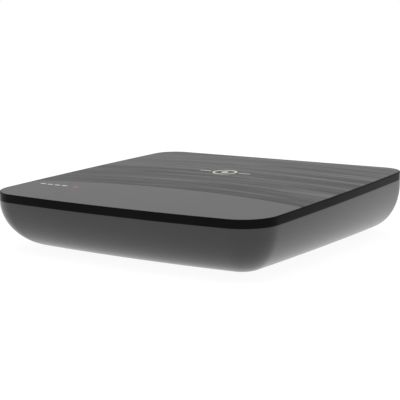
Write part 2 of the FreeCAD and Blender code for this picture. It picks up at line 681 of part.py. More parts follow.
def make_rca_sockets():
    subpart("rca_housing", block("rca_housing", ("10", "12", "24.5"),
                                 ("rca_x-5", "socket_face-12", "board_low+board_thick")))
    rings, cores, contacts = [], [], []
    for number in range(2):
        height = "rca_low+%d*rca_pitch" % number
        tag = "rca_%d_" % number
        at = ("rca_x", "socket_face", height)
        ring = rod(tag + "ring", "rca_radius", "rca_tip-socket_face", at, "Y")
        room = rod(tag + "room", "rca_bore", "rca_tip-socket_face+2", ("rca_x", "socket_face-1", height), "Y")
        rings.append(less(tag + "shell", ring, [room]))
        web = rod(tag + "web", "rca_bore-0.03", "2", at, "Y")
        sleeve = rod(tag + "sleeve", "2.4", "8", at, "Y")
        hole = rod(tag + "hole", "1.78", "10", ("rca_x", "socket_face-1", height), "Y")
        cores.append(less(tag + "insulator", fused(tag + "core", [web, sleeve]), [hole]))
        tube = rod(tag + "tube", "1.75", "7.5", at, "Y")
        tube_hole = rod(tag + "tube_hole", "1.55", "7.5", ("rca_x", "socket_face+1", height), "Y")
        contacts.append(less(tag + "contact", tube, [tube_hole]))
    subpart("rca_rings", group("rca_rings", rings))
    subpart("rca_insulators", group("rca_insulators", cores))
    subpart("rca_contacts", group("rca_contacts", contacts))


def d_shape(half_top, half_bottom, half_height):
    """The D of a video plug, wide side up, as (x, z) formulas."""
    low = "vga_height-%s" % half_height
    high = "vga_height+%s" % half_height
    return [("vga_x-%s" % half_bottom, low), ("vga_x+%s" % half_bottom, low),
            ("vga_x+%s" % half_top, high), ("vga_x-%s" % half_top, high)]


def make_vga_socket():
    flange = block("vga_flange", ("30.8", "0.9", "12.4"), ("vga_x-15.4", "panel_rear", "vga_height-6.2"))
    collar = across("vga_collar", d_shape(8.4, 7.2, 4.2), "panel_rear", "6.4")
    room = across("vga_room", d_shape(7.95, 6.75, 3.75), "panel_rear-1", "9")
    tools = [room]
    for sign in ("-", "+"):
        name = "vga_flange_hole" + ("_left" if sign == "-" else "_right")
        tools.append(rod(name, "1.5", "4", ("vga_x" + sign + "jackscrew_spacing/2", "panel_rear-1", "vga_height"), "Y"))
    subpart("vga_shell", less("vga_shell", fused("vga_metal", [flange, collar]), tools))
    rear = block("vga_rear", ("30", "9", "12.2"), ("vga_x-15", "socket_face-9", "board_low+board_thick"))
    front = across("vga_front", d_shape(7.9, 6.7, 3.7), "socket_face-1", "6.6")
    pin_holes = []
    for row in range(3):
        for column in range(5):
            shift = 2.29 * (column - 2) + (0.57 if row == 1 else -0.57)
            pin_holes.append(rod("vga_pin_%d_%d" % (row, column), "0.55", "5",
                                 ("vga_x%+.2f" % shift, "panel_rear", "vga_height%+.2f" % (1.98 * (row - 1))), "Y"))
    stud_holes = [rod("vga_stud_hole_%d" % number, "1.6", "6",
                      ("vga_x%sjackscrew_spacing/2" % sign, "socket_face-4", "vga_height"), "Y")
                  for number, sign in enumerate("-+")]
    subpart("vga_insert", less("vga_insert", fused("vga_plastic", [rear, front]), pin_holes + stud_holes))
    posts = []
    for number, sign in enumerate("-+"):
        x = "vga_x" + sign + "jackscrew_spacing/2"
        post = doc.addObject("Part::Prism", "jack_post_%d" % number)
        post.Polygon = 6
        bind(post, Circumradius="2.75", Height="5")
        post.Placement = FreeCAD.Placement(Vector(), FreeCAD.Rotation(*TURNS["Y"]))
        move(post, (x, "panel_rear+0.9", "vga_height"))
        stud = rod("jack_stud_%d" % number, "1.4", "5", (x, "panel_rear-4", "vga_height"), "Y")
        thread = rod("jack_thread_%d" % number, "1.42", "4.5", (x, "panel_rear+1.9", "vga_height"), "Y")
        posts.append(less("jackscrew_%d" % number, fused("jack_solid_%d" % number, [post, stud]), [thread]))
    subpart("vga_jackscrews", group("vga_jackscrews", posts))


def make_hdmi_socket():
    low = "board_low+board_thick"
    outside = [("hdmi_x-5.6", low), ("hdmi_x+5.6", low), ("hdmi_x+7.4", low + "+1.6"), ("hdmi_x+7.4", low + "+5.6"),
               ("hdmi_x-7.4", low + "+5.6"), ("hdmi_x-7.4", low + "+1.6")]
    inside = [("hdmi_x-5.4", low + "+0.5"), ("hdmi_x+5.4", low + "+0.5"), ("hdmi_x+7", low + "+1.9"),
              ("hdmi_x+7", low + "+5.1"), ("hdmi_x-7", low + "+5.1"), ("hdmi_x-7", low + "+1.9")]
    shell = across("hdmi_outside", outside, "panel_rear-10.5", "12")
    room = across("hdmi_inside", inside, "panel_rear-9.5", "12")
    subpart("hdmi_shell", less("hdmi_shell", shell, [room]))
    subpart("hdmi_tongue", block("hdmi_tongue", ("10.4", "9.2", "1.2"), ("hdmi_x-5.2", "panel_rear-9.5", low + "+2.6")))


def make_usb_socket():
    low = "board_low+board_thick"
    shell = block("usb_outside", ("13.3", "14.2", "15.6"), ("usb_x-6.65", "panel_rear-13", low))
    rooms = [block("usb_room_%d" % number, ("12.5", "14.2", "5.4"), ("usb_x-6.25", "panel_rear-12", low + lift))
             for number, lift in enumerate(("+1.2", "+9"))]
    subpart("usb_shell", less("usb_shell", shell, rooms))
    tongues = [block("usb_tongue_%d" % number, ("11.1", "11.5", "1.9"), ("usb_x-5.55", "panel_rear-12", low + lift))
               for number, lift in enumerate(("+3.6", "+11.4"))]
    subpart("usb_tongues", group("usb_tongues", tongues))


def make_lan_socket():
    low = "board_low+board_thick"
    shell = block("lan_outside", ("16", "16", "13.5"), ("lan_x-8", "panel_rear-15", low))
    shell_room = block("lan_shell_room", ("15.2", "16", "12.7"), ("lan_x-7.6", "panel_rear-14.6", low + "+0.4"))
    subpart("lan_jack_shell", less("lan_jack_shell", shell, [shell_room]))
    insert = block("lan_insert_block", ("15.1", "15.2", "12.6"), ("lan_x-7.55", "panel_rear-14.55", low + "+0.45"))
    plug_room = block("lan_plug_room", ("11.8", "13", "7.6"), ("lan_x-5.9", "panel_rear-11.5", low + "+4.2"))
    latch_room = block("lan_latch_room", ("6.2", "13", "3"), ("lan_x-3.1", "panel_rear-11.5", low + "+1.8"))
    subpart("lan_jack_insert", less("lan_jack_insert", insert, [plug_room, latch_room]))


def make_dc_socket():
    body = block("dc_block", ("9.5", "14", "11"), ("dc_x-4.75", "panel_rear-12.5", "board_low+board_thick"))
    room = rod("dc_room", "dc_bore", "10", ("dc_x", "panel_rear-8.4", "dc_height"), "Y")
    seat = rod("dc_seat", "dc_pin+0.02", "6", ("dc_x", "panel_rear-11", "dc_height"), "Y")
    subpart("dc_jack_body", less("dc_jack_body", body, [room, seat]))
    subpart("dc_jack_pin", rod("dc_jack_pin", "dc_pin", "11", ("dc_x", "panel_rear-11", "dc_height"), "Y"))
    washer = rod("ground_washer", "3.6", "0.6", ("ground_x", "panel_rear", "ground_height"), "Y")
    head = rod("ground_head", "2.9", "2.2", ("ground_x", "panel_rear+0.6", "ground_height"), "Y")
    shank = rod("ground_shank", "1.45", "6", ("ground_x", "panel_rear-5", "ground_height"), "Y")
    slot = block("ground_slot", ("0.9", "1.2", "8"), ("ground_x-0.45", "panel_rear+1.9", "ground_height-4"))
    subpart("ground_screw", less("ground_screw", fused("ground_solid", [washer, head, shank]), [slot]))


# ---------------------------------------------------------------- power switch

def make_power_switch():
    flange = block("switch_flange", ("flange_width", "flange_thick", "flange_height"),
                   ("switch_x-flange_width/2", "panel_rear", "switch_height-flange_height/2"))
    case = block("switch_case", ("switch_width", "switch_depth", "switch_tall"),
                 ("switch_x-switch_width/2", "panel_rear-switch_depth", "switch_height-switch_tall/2"))
    room = block("switch_room", ("11.7", "switch_depth", "rocker_width+0.6"),
                 ("switch_x-5.85", "panel_rear-5.2", "switch_height-rocker_width/2-0.3"))
    reach = "rocker_width/2+0.62"
    bearing = rod("switch_bearing", "rocker_pin+fit_gap", "2*(" + reach + ")",
                  ("switch_x", "rocker_pivot", "switch_height-(" + reach + ")"))
    subpart("power_switch_housing", less("power_switch_housing", fused("switch_solid", [flange, case]),
                                         [room, bearing]))
    # the key is a shallow V; it rests with one end pressed in
    profile = [(-4.9, 3.2), (-1, 1.9), (1, 1.9), (4.9, 3.2), (4.3, -1.4), (0, -2.6), (-4.3, -1.4)]
    width = size("rocker_width")
    face = polygon_face([Vector(x, y, -width / 2) for x, y in profile])
    key = face.extrude(Vector(0, 0, width))
    pin = Part.makeCylinder(size("rocker_pin"), width + 1, Vector(0, 0, -width / 2 - 0.5))
    rocker = doc.addObject("Part::Feature", "power_rocker")
    rocker.Shape = key.fuse(pin)
    rocker.Placement = FreeCAD.Placement(Vector(), FreeCAD.Rotation(Vector(0, 0, 1), -size("rocker_tilt")))
    move(rocker, ("switch_x", "rocker_pivot", "switch_height"))
    subpart("power_rocker", rocker)


# ---------------------------------------------------------------- hard disk drive

def disk_centre():
    return Vector(size("drive_left") + size("drive_length") - size("disk_offset"),
                  size("drive_front") + size("drive_width") / 2, 0)


def fan(radius_in, radius_out, start, end, low, thick):
    """A ring sector about the arm's pivot, between two angles in degrees."""
    pivot = Vector(size("arm_x"), size("arm_y"), low)

    def at(radius, angle):
        turn = math.radians(angle)
        return pivot + Vector(radius * math.cos(turn), radius * math.sin(turn), 0)

    middle = (start + end) / 2
    edges = [Part.Arc(at(radius_out, start), at(radius_out, middle), at(radius_out, end)).toShape(),
             Part.makeLine(at(radius_out, end), at(radius_in, end)),
             Part.Arc(at(radius_in, end), at(radius_in, middle), at(radius_in, start)).toShape(),
             Part.makeLine(at(radius_in, start), at(radius_out, start))]
    return Part.Face(Part.Wire(edges)).extrude(Vector(0, 0, thick))


def make_drive_case():
    left, front, low = size("drive_left"), size("drive_front"), size("drive_low")
    length, width = size("drive_length"), size("drive_width")
    lid = size("drive_lid")
    body_height = size("drive_height") - lid
    floor = low + size("drive_floor")
    tub = Part.makeBox(length, width, body_height, Vector(left, front, low))
    tub = tub.makeFillet(3, [edge for edge in tub.Edges if abs(edge.BoundBox.ZLength - body_height) < 0.01])
    centre = disk_centre()
    depth = body_height
    room = upright(centre.x, centre.y, floor, floor + depth, size("disk_room"))
    bay = Part.makeBox(centre.x - left - 12, width - 8, depth, Vector(left + 12, front + 4, floor))
    under = Part.makeBox(length - 58, width - 12, 2.6, Vector(left - 1, front + 6, low - 0.1))
    posts = [upright(x, y, low, floor, 4.5) for x, y in drive_hole_places()]
    notch = Part.makeBox(6, 44, 8, Vector(left - 1, size("power_start") - 13, low))
    tub = tub.cut([room, bay, under, notch])
    tub = tub.fuse([post.common(Part.makeBox(length, width, 9, Vector(left, front, low))) for post in posts])
    pivot = upright(size("arm_x"), size("arm_y"), floor - 1, low + body_height - 1, size("shaft_radius"))
    shaft = upright(centre.x, centre.y, floor - 1, low + body_height - 1, size("shaft_radius"))
    threads = [upright(x, y, low - 1, low + 5, size("shank_radius") + 0.02) for x, y in drive_hole_places()]
    tub = tub.fuse([pivot, shaft]).cut(threads)
    subpart("hdd_base", computed("hdd_base", tub.removeSplitter()))
    cover = Part.makeBox(length, width, lid, Vector(left, front, low + body_height))
    cover = cover.makeFillet(3, [edge for edge in cover.Edges if abs(edge.BoundBox.ZLength - lid) < 0.01])
    dish = upright(centre.x, centre.y, low + body_height + lid - 0.4, low + body_height + lid + 1, 42)
    rim = upright(centre.x, centre.y, low + body_height + lid - 0.5, low + body_height + lid + 1, 18)
    subpart("hdd_cover", computed("hdd_cover", cover.cut(dish.cut(rim)).removeSplitter()))
    posts_room = [upright(x, y, low - 1, low + 9, 4.7) for x, y in drive_hole_places()]
    plate = Part.makeBox(length - 66, width - 16, 1.6, Vector(left + 5.5, front + 8, low + 0.7))
    subpart("hdd_circuit_board", computed("hdd_circuit_board", plate.cut(posts_room)))
    subpart("hdd_connector", block("hdd_connector", ("5", "42", "5.5"),
                                   ("drive_left", "power_start-12", "drive_low+2.3")))


def make_drive_motion():
    gap = "fit_gap"
    low, thick, pitch = "disk_low", "disk_thick", "disk_pitch"
    hub_low = "drive_low+drive_floor+0.6"
    top = low + "+" + pitch + "+" + thick
    body = turned_body("hdd_platters", [
        ("shaft_radius+" + gap, hub_low), ("hub_radius", hub_low), ("hub_radius", low),
        ("disk_radius", low), ("disk_radius", low + "+" + thick), ("hub_radius", low + "+" + thick),
        ("hub_radius", low + "+" + pitch), ("disk_radius", low + "+" + pitch), ("disk_radius", top),
        ("hub_radius", top), ("hub_radius", top + "+1.6"), ("shaft_radius+" + gap, top + "+1.6")])
    move(body, ("drive_left+drive_length-disk_offset", "drive_front+drive_width/2", "0"))
    subpart("hdd_platters", body)

    pivot = Vector(size("arm_x"), size("arm_y"), 0)
    disk, plate, step = size("disk_low"), size("disk_thick"), size("disk_pitch")
    blade_gap = 1
    blade = 1.1
    levels = [disk - blade_gap - blade, disk + plate + (step - plate - blade) / 2, disk + step + plate + blade_gap]
    base = levels[0] - 0.6
    crown = levels[2] + blade + 0.6
    reach = size("arm_length")
    pieces = [upright(pivot.x, pivot.y, base, crown, 6.5)]
    turn = FreeCAD.Rotation(Vector(0, 0, 1), size("arm_rest"))
    for level in levels:
        shape = [(0, -6), (reach - 16, -3), (reach, -1.2), (reach, 1.2), (reach - 16, 3), (0, 6)]
        face = polygon_face([pivot + turn.multVec(Vector(x, y, 0)) + Vector(0, 0, level) for x, y in shape])
        pieces.append(face.extrude(Vector(0, 0, blade)))
    tail = size("arm_rest") + 180
    coil_low = disk + plate + 0.6
    pieces.append(fan(4, 24, tail - 20, tail + 20, coil_low, 2))
    arm = pieces[0].fuse(pieces[1:])
    arm = arm.cut(upright(pivot.x, pivot.y, base - 1, crown + 1, size("shaft_radius") + size("fit_gap")))
    subpart("hdd_head_arm", computed("hdd_head_arm", arm.removeSplitter()))
    floor = size("drive_low") + size("drive_floor")
    lower = fan(9.5, 27, tail - 28, tail + 52, floor, coil_low - 0.7 - floor)
    upper = fan(9.5, 27, tail - 28, tail + 52, coil_low + 2.7, 2.6)
    subpart("hdd_magnets", group("hdd_magnets", [computed("magnet_low", lower), computed("magnet_high", upper)]))


# ---------------------------------------------------------------- cables

def lead_path(x, start, end, start_height, run, end_height, radius):
    """Up from one plug, over, and down to the other, with round bends."""
    bow = radius * (1 - math.sqrt(0.5))
    points = [(start, start_height), (start, run - radius), (start + bow, run - bow), (start + radius, run),
              (end - radius, run), (end - bow, run - bow), (end, run - radius), (end, end_height)]
    a, b, c, d, e, f, g, last = [Vector(x, y, z) for y, z in points]
    return Part.Wire([Part.makeLine(a, b), Part.Arc(b, c, d).toShape(), Part.makeLine(d, e),
                      Part.Arc(e, f, g).toShape(), Part.makeLine(g, last)])


def lead(x, start, end, start_height, run, end_height, radius, thickness):
    path = lead_path(x, start, end, start_height, run, end_height, radius)
    ring = Part.Wire(Part.makeCircle(thickness, Vector(x, start, start_height), Vector(0, 0, 1)))
    return path.makePipeShell([ring], True, False)


def make_leads():
    deck = size("board_low") + size("board_thick")
    plug_low = size("drive_low") + 2.3
    plug_top = plug_low + 5.7
    bend = size("bend_radius")
    x = size("lead_x")
    data = lead(x, size("data_start"), size("data_end"), plug_top, size("data_run"), deck + 8, bend,
                size("data_radius"))
    subpart("sata_data_cable", computed("sata_data_cable", data))
    wires = [lead(x + (number - 1.5) * size("wire_pitch"), size("power_start"), size("power_end"), plug_top,
                  size("power_run"), deck + 8, bend, size("wire_radius")) for number in range(4)]
    subpart("sata_power_wires", group("sata_power_wires", [computed("power_wire_%d" % number, wire)
                                                           for number, wire in enumerate(wires)]))
    drive_plug = ("7.4", "10", "5.7")
    subpart("sata_data_plugs", group("sata_data_plugs", [
        block("data_plug_drive", drive_plug, ("drive_left-7.6", "data_start-5", "drive_low+2.3")),
        block("data_plug_board", ("7", "8", "5"), ("lead_x-3.5", "data_end-4", "board_low+board_thick+3"))]))
    subpart("sata_power_plugs", group("sata_power_plugs", [
        block("power_plug_drive", ("7.4", "22", "5.7"), ("drive_left-7.6", "power_start-11", "drive_low+2.3")),
        block("power_plug_board", ("7", "9.8", "5"), ("lead_x-3.5", "power_end-4.9", "board_low+board_thick+3"))]))
    # the status light's flat ribbon: a strip of constant thickness bent once
    thick = size("ribbon_thick")
    top = size("lamp_board_low")
    width = size("ribbon_width")
    start = size("light_y") - 3
    end = size("ribbon_end")
    x_low = x - width / 2
    inner = bend - thick

    def at(y, z):
        return Vector(x_low, y, z)

    corner_y = end + thick / 2 - bend
    corner_z = top - bend
    bow = math.sqrt(0.5)
    edges = [Part.makeLine(at(start, top), at(corner_y, top)),
             Part.Arc(at(corner_y, top), at(corner_y + bend * bow, corner_z + bend * bow),
                      at(corner_y + bend, corner_z)).toShape(),
             Part.makeLine(at(corner_y + bend, corner_z), at(corner_y + bend, deck + 4)),
             Part.makeLine(at(corner_y + bend, deck + 4), at(corner_y + inner, deck + 4)),
             Part.makeLine(at(corner_y + inner, deck + 4), at(corner_y + inner, corner_z)),
             Part.Arc(at(corner_y + inner, corner_z), at(corner_y + inner * bow, corner_z + inner * bow),
                      at(corner_y, top - thick)).toShape(),
             Part.makeLine(at(corner_y, top - thick), at(start, top - thick)),
             Part.makeLine(at(start, top - thick), at(start, top))]
    ribbon = Part.Face(Part.Wire(edges)).extrude(Vector(width, 0, 0))
    subpart("status_cable", computed("status_cable", ribbon))


# ---------------------------------------------------------------- build, test and write

def check_and_export():
    doc.recompute()
    for item in doc.Objects:
        if "Invalid" in item.State or "Error" in item.State:
            raise RuntimeError("%s did not recompute: %s" % (item.Label, item.State))
    for item in subparts:
        shape = item.Shape
        if shape.isNull() or not shape.isValid() or not shape.Solids:
            raise RuntimeError(item.Label + " is not a valid solid")
    os.makedirs("parts", exist_ok=True)
    for item in subparts:
        item.Shape.exportStep(os.path.join("parts", item.Label + ".step"))
    print(len(subparts), "sub-parts written")


make_bottom_shell()
make_top_cover()
make_deck()
make_status_light()
make_feet()
make_case_screws()
make_rear_panel()
make_main_board()
make_board_pieces()
make_bnc_sockets()
make_rca_sockets()
make_vga_socket()
make_hdmi_socket()
make_usb_socket()
make_lan_socket()
make_dc_socket()
make_power_switch()
make_drive_case()
make_drive_motion()
make_leads()
check_and_export()
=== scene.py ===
import bpy
import bmesh
import json
import math
import numpy as np
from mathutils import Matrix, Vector


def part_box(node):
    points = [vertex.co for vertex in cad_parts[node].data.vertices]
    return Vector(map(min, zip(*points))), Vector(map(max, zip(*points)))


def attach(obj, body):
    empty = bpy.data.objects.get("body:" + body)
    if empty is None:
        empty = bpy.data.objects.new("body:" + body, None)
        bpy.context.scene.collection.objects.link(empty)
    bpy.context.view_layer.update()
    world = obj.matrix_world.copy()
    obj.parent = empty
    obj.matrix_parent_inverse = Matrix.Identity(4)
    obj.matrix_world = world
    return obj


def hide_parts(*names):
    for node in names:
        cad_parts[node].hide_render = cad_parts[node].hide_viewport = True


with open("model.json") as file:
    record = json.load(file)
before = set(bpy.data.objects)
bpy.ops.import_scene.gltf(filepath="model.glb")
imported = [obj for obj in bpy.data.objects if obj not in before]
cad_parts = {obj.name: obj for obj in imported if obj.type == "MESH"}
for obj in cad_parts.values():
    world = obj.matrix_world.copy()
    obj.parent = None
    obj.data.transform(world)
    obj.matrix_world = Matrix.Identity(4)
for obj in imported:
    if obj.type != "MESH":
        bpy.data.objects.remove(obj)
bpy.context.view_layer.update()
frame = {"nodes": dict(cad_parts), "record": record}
MM = 0.001

# ---------------------------------------------------------------- the driving sizes, in millimetres

# case: x to the right, y to the back, z up, with the feet on z = 0
CASE_WIDTH, CASE_DEPTH, CASE_SHIFT = 200, 203, -2.75
FRONT_BULGE, SIDE_BULGE = 3, 1.3
FRONT_CORNER, REAR_CORNER = 22.5, 17
FLOOR_FRONT_CORNER, FLOOR_REAR_CORNER = 3, 9
FOOT, TOP_HEIGHT, RIM = 1.5, 39.6, 5.1
SLOPE = math.tan(math.radians(1.8))
SIDE_INSET, FRONT_INSET, REAR_INSET = 30.5, 34, 1.5
WALL, COVER_WALL, COVER_PLATE = 2.2, 2.6, 2.3
DECK_BORDER, DECK_RECESS, DECK_GAP, DECK_ROUND = 0.9, 0.6, 0.06, 0.12
BAND_RADIUS, BAND_CENTRE_Y, BAND_GAP = 302, -339.75, 0.15
SHELL_ROUND, RIM_TOP_ROUND, RIM_LOW_ROUND = 0.25, 0.6, 0.3
SKIN = 0.02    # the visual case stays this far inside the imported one

# openings of the bottom shell
REAR_OPENING_HALF, REAR_OPENING_LOW, REAR_OPENING_HIGH, REAR_CUT_END = 77, 9.7, 35.2, 120
VENTS, VENT_WIDTH, VENT_LENGTH, VENT_PITCH, VENT_Y = 9, 2, 26, 5, 56
VENT_CUT_LOW, VENT_CUT_HIGH, KEYHOLE_CUT_HIGH = 0.5, 5, 6
KEYHOLE_X, KEYHOLE_RADIUS, KEYHOLE_SLOT_HALF, KEYHOLE_REACH = 55, 3.75, 2, 9
FOOT_X, FOOT_Y, FOOT_POCKET_RADIUS, FOOT_POCKET_TOP = 50, 50, 7.1, 2.3
TOWER_X, TOWER_Y, TOWER_HOLE_RADIUS, TOWER_HOLE_TOP = 74, 76, 3.3, 16

# printed marks and small fittings
PRINT, PRINT_SUNK = 0.05, 0.02
SIGN_X, SIGN_Y, SIGN_OUTER, SIGN_INNER, SIGN_DOT = -5, 30.5, 8.5, 7.0, 2.6
SIGN_BAR_OFFSET, SIGN_BAR_LENGTH, SIGN_BAR_WIDTH = 15.5, 9, 1.2
LIGHT_MARKS, LIGHT_MARK_X, LIGHT_MARK_Y, LIGHT_MARK_PITCH = 4, -87, -62.75, 6
LIGHT_MARK_LENGTH, LIGHT_MARK_WIDTH = 4.4, 1.7
LENS_RADIUS, LENS_SUNK, LENS_RISE = 1.5, 0.1, 0.28
SCREW_SHANK, SCREW_POINT, SCREW_CHAMFER, SCREW_HEAD = 1.5, 1.2, 0.4, 2.8
CROSS_LENGTH, CROSS_WIDTH, CROSS_DEPTH = 4.2, 0.9, 1.5
NETWORK_X, CONTACTS, CONTACT_PITCH, CONTACT_WIDTH = -57, 8, 1.02, 0.36
CONTACT_INNER, CONTACT_MOUTH, CONTACT_LOW, CONTACT_HIGH, CONTACT_SLOPE = 86.2, 94.2, 20.2, 20.5, 0.11
ROCKER_X, ROCKER_SIGN_OFFSET, ROCKER_BAR_LENGTH, ROCKER_BAR_WIDTH = -27, 2.3, 3.2, 0.5
ROCKER_RING_OUTER, ROCKER_RING_INNER = 1.35, 0.95

SHARP_ANGLE = math.radians(35)    # edges that turn more than this are shaded as sharp


# ---------------------------------------------------------------- curves and meshes

def top_plane(y):
    """Height of the top at y, in the frame's millimetres."""
    return FOOT + TOP_HEIGHT + SLOPE * (y - CASE_SHIFT)


def rim_plane(y):
    """Height of the rim's lower edge at y, where the cover meets the shell."""
    return top_plane(y) - RIM


def quarter_turn(steps):
    """Angles in radians from 0 to a right angle."""
    return [math.pi / 2 * step / steps for step in range(steps + 1)]


def arc_points(centre, radius, start, end, count):
    """Points along an arc from start to end, both unit directions, without the last one."""
    first = math.atan2(start[1], start[0])
    last = math.atan2(end[1], end[0])
    turn = (last - first + math.pi) % (2 * math.pi) - math.pi
    angles = first + turn * np.arange(count) / count
    return centre + radius * np.stack([np.cos(angles), np.sin(angles)], axis=1)


def outline(half, front, rear, front_radius, rear_radius):
    """The closed plan curve, anticlockwise: bulged front and sides, round corners, straight back."""
    corner = np.array([half - front_radius, front + front_radius])
    back = np.array([half - rear_radius, rear - rear_radius])
    front_curve = (corner[0] ** 2 + (FRONT_BULGE + front_radius) ** 2 - front_radius ** 2) / (2 * FRONT_BULGE)
    front_centre = np.array([0, front - FRONT_BULGE + front_curve])
    chord = np.linalg.norm(back - corner)
    side_curve = chord ** 2 / (8 * SIDE_BULGE) + (front_radius + rear_radius) / 2
    reach_front, reach_rear = side_curve - front_radius, side_curve - rear_radius
    along = (reach_front ** 2 - reach_rear ** 2 + chord ** 2) / (2 * chord)
    aside = math.sqrt(reach_front ** 2 - along ** 2)
    line = (back - corner) / chord
    side_centre = corner + line * along + np.array([-line[1], line[0]]) * aside

    def towards(point, centre):
        return (point - centre) / np.linalg.norm(point - centre)

    to_front = towards(corner, front_centre)
    to_side = towards(corner, side_centre)
    to_back = towards(back, side_centre)
    up = np.array([0, 1])
    mirror = np.array([-1, 1])
    left_front = to_front * mirror
    parts = [arc_points(front_centre, front_curve, left_front, to_front, 60),
             arc_points(corner, front_radius, to_front, to_side, 18),
             arc_points(side_centre, side_curve, to_side, to_back, 44),
             arc_points(back, rear_radius, to_back, up, 16)]
    right_end = back + up * rear_radius
    steps = np.arange(30)[:, None] / 30
    parts.append(right_end + (right_end * mirror - right_end) * steps)
    parts.append(arc_points(back * mirror, rear_radius, up, to_back * mirror, 16))
    parts.append(arc_points(side_centre * mirror, side_curve, to_back * mirror, to_side * mirror, 44))
    parts.append(arc_points(corner * mirror, front_radius, to_side * mirror, left_front, 18))
    return np.vstack(parts) + np.array([0, CASE_SHIFT])


def case_outline(inset):
    """The plan of the rim, moved inwards."""
    inset += SKIN
    half, reach = CASE_WIDTH / 2, CASE_DEPTH / 2
    return outline(half - inset, inset - reach, reach - inset, FRONT_CORNER - inset, REAR_CORNER - inset)


def with_height(points, height):
    """Plan points raised to height(y)."""
    return np.column_stack([points, [height(y) for y in points[:, 1]]])


def bowl_ring(inset, angle):
    """One section of the bowl under the rim, at an angle in radians of its quarter ellipse."""
    inset += SKIN
    inward, downward = 1 - math.cos(angle), math.sin(angle)
    side = inset + (SIDE_INSET - inset) * inward
    front = inset + (FRONT_INSET - inset) * inward
    front_radius = FRONT_CORNER * (1 - inward) + FLOOR_FRONT_CORNER * inward - inset
    rear_radius = REAR_CORNER * (1 - downward) + FLOOR_REAR_CORNER * downward - inset
    half, reach = CASE_WIDTH / 2, CASE_DEPTH / 2
    points = outline(half - side, front - reach, reach - inset - REAR_INSET * inward,
                     max(front_radius, 1), max(rear_radius, 1))
    return with_height(points, lambda y: rim_plane(y) - (rim_plane(y) - FOOT - inset) * downward)


def rim_ring(inset, lift):
    """The rim's plan at a height above its lower edge."""
    return with_height(case_outline(inset), lambda y: rim_plane(y) + lift)


def add_piece(name, vertices, faces):
    """A smooth mesh object from millimetre vertices, with its sharp edges marked."""
    mesh = bpy.data.meshes.new(name)
    mesh.from_pydata([tuple(v) for v in np.asarray(vertices) * MM], [], faces)
    mesh.validate()
    piece = bpy.data.objects.new(name, mesh)
    bpy.context.scene.collection.objects.link(piece)
    finish_mesh(piece)
    return piece


def finish_mesh(piece):
    """Turn all faces outwards and shade the piece."""
    bm = bmesh.new()
    bm.from_mesh(piece.data)
    bmesh.ops.recalc_face_normals(bm, faces=bm.faces)
    bm.to_mesh(piece.data)
    bm.free()
    shade_smooth(piece)


def shade_smooth(piece):
    piece.data.polygons.foreach_set("use_smooth", [True] * len(piece.data.polygons))
    piece.data.set_sharp_from_angle(angle=SHARP_ANGLE)


def ring_solid(name, rings):
    """A closed solid: rings joined in turn, the first and last closed by flat faces."""
    count = len(rings[0])
    vertices = np.vstack(rings)
    faces = [list(reversed(range(count)))]
    for row in range(len(rings) - 1):
        for i in range(count):
            j = (i + 1) % count
            low, high = row * count, (row + 1) * count
            faces.append([low + i, low + j, high + j, high + i])
    faces.append(list(range((len(rings) - 1) * count, len(rings) * count)))
    return add_piece(name, vertices, faces)


def inset_polygon(points, distance):
    """A polygon moved inwards by a small distance (anticlockwise points)."""
    before = points - np.roll(points, 1, axis=0)
    after = np.roll(points, -1, axis=0) - points
    normals = []
    for edge in (before, after):
        edge = edge / np.linalg.norm(edge, axis=1)[:, None]
        normals.append(np.stack([-edge[:, 1], edge[:, 0]], axis=1))
    middle = normals[0] + normals[1]
    middle /= (1 + np.sum(normals[0] * normals[1], axis=1))[:, None]
    return points + middle * distance


def deck_plate(name, points):
    """A thin plate let into the cover, flush with the top plane, with rounded upper edges."""
    low = -DECK_RECESS + 0.01
    rings = [with_height(inset_polygon(points, DECK_ROUND), lambda y: top_plane(y) + low),
             with_height(points, lambda y: top_plane(y) + low + DECK_ROUND)]
    for angle in quarter_turn(4):
        inward, drop = DECK_ROUND * (1 - math.cos(angle)), DECK_ROUND * (1 - math.sin(angle))
        rings.append(with_height(inset_polygon(points, inward), lambda y: top_plane(y) - drop))
    rings.append(with_height(inset_polygon(points, DECK_ROUND + 0.1), top_plane))
    return ring_solid(name, rings)


def box_mesh(low, high):
    """Corners and faces of a box."""
    corners = [(x, y, z) for z in (low[2], high[2]) for y in (low[1], high[1]) for x in (low[0], high[0])]
    faces = [(0, 2, 3, 1), (4, 5, 7, 6), (0, 1, 5, 4), (2, 6, 7, 3), (0, 4, 6, 2), (1, 3, 7, 5)]
    return corners, faces


def apply_modifiers(piece):
    """Write the result of a piece's modifiers into its mesh."""
    evaluated = piece.evaluated_get(bpy.context.evaluated_depsgraph_get())
    mesh = bpy.data.meshes.new_from_object(evaluated)
    piece.modifiers.clear()
    piece.data = mesh


def ring_points(centre, radius, count=64):
    """A circle, anticlockwise."""
    angles = 2 * math.pi * np.arange(count) / count
    return np.stack([centre[0] + radius * np.cos(angles), centre[1] + radius * np.sin(angles)], axis=1)


def rounded_bar(centre, length, width, count=10):
    """A bar with half-round ends, anticlockwise."""
    half = (length - width) / 2
    angles = np.linspace(-math.pi / 2, math.pi / 2, count)
    across, along = half + width / 2 * np.cos(angles), width / 2 * np.sin(angles)
    right = np.stack([centre[0] + across, centre[1] + along], axis=1)
    left = np.stack([centre[0] - across, centre[1] - along], axis=1)
    return np.vstack([right, left])


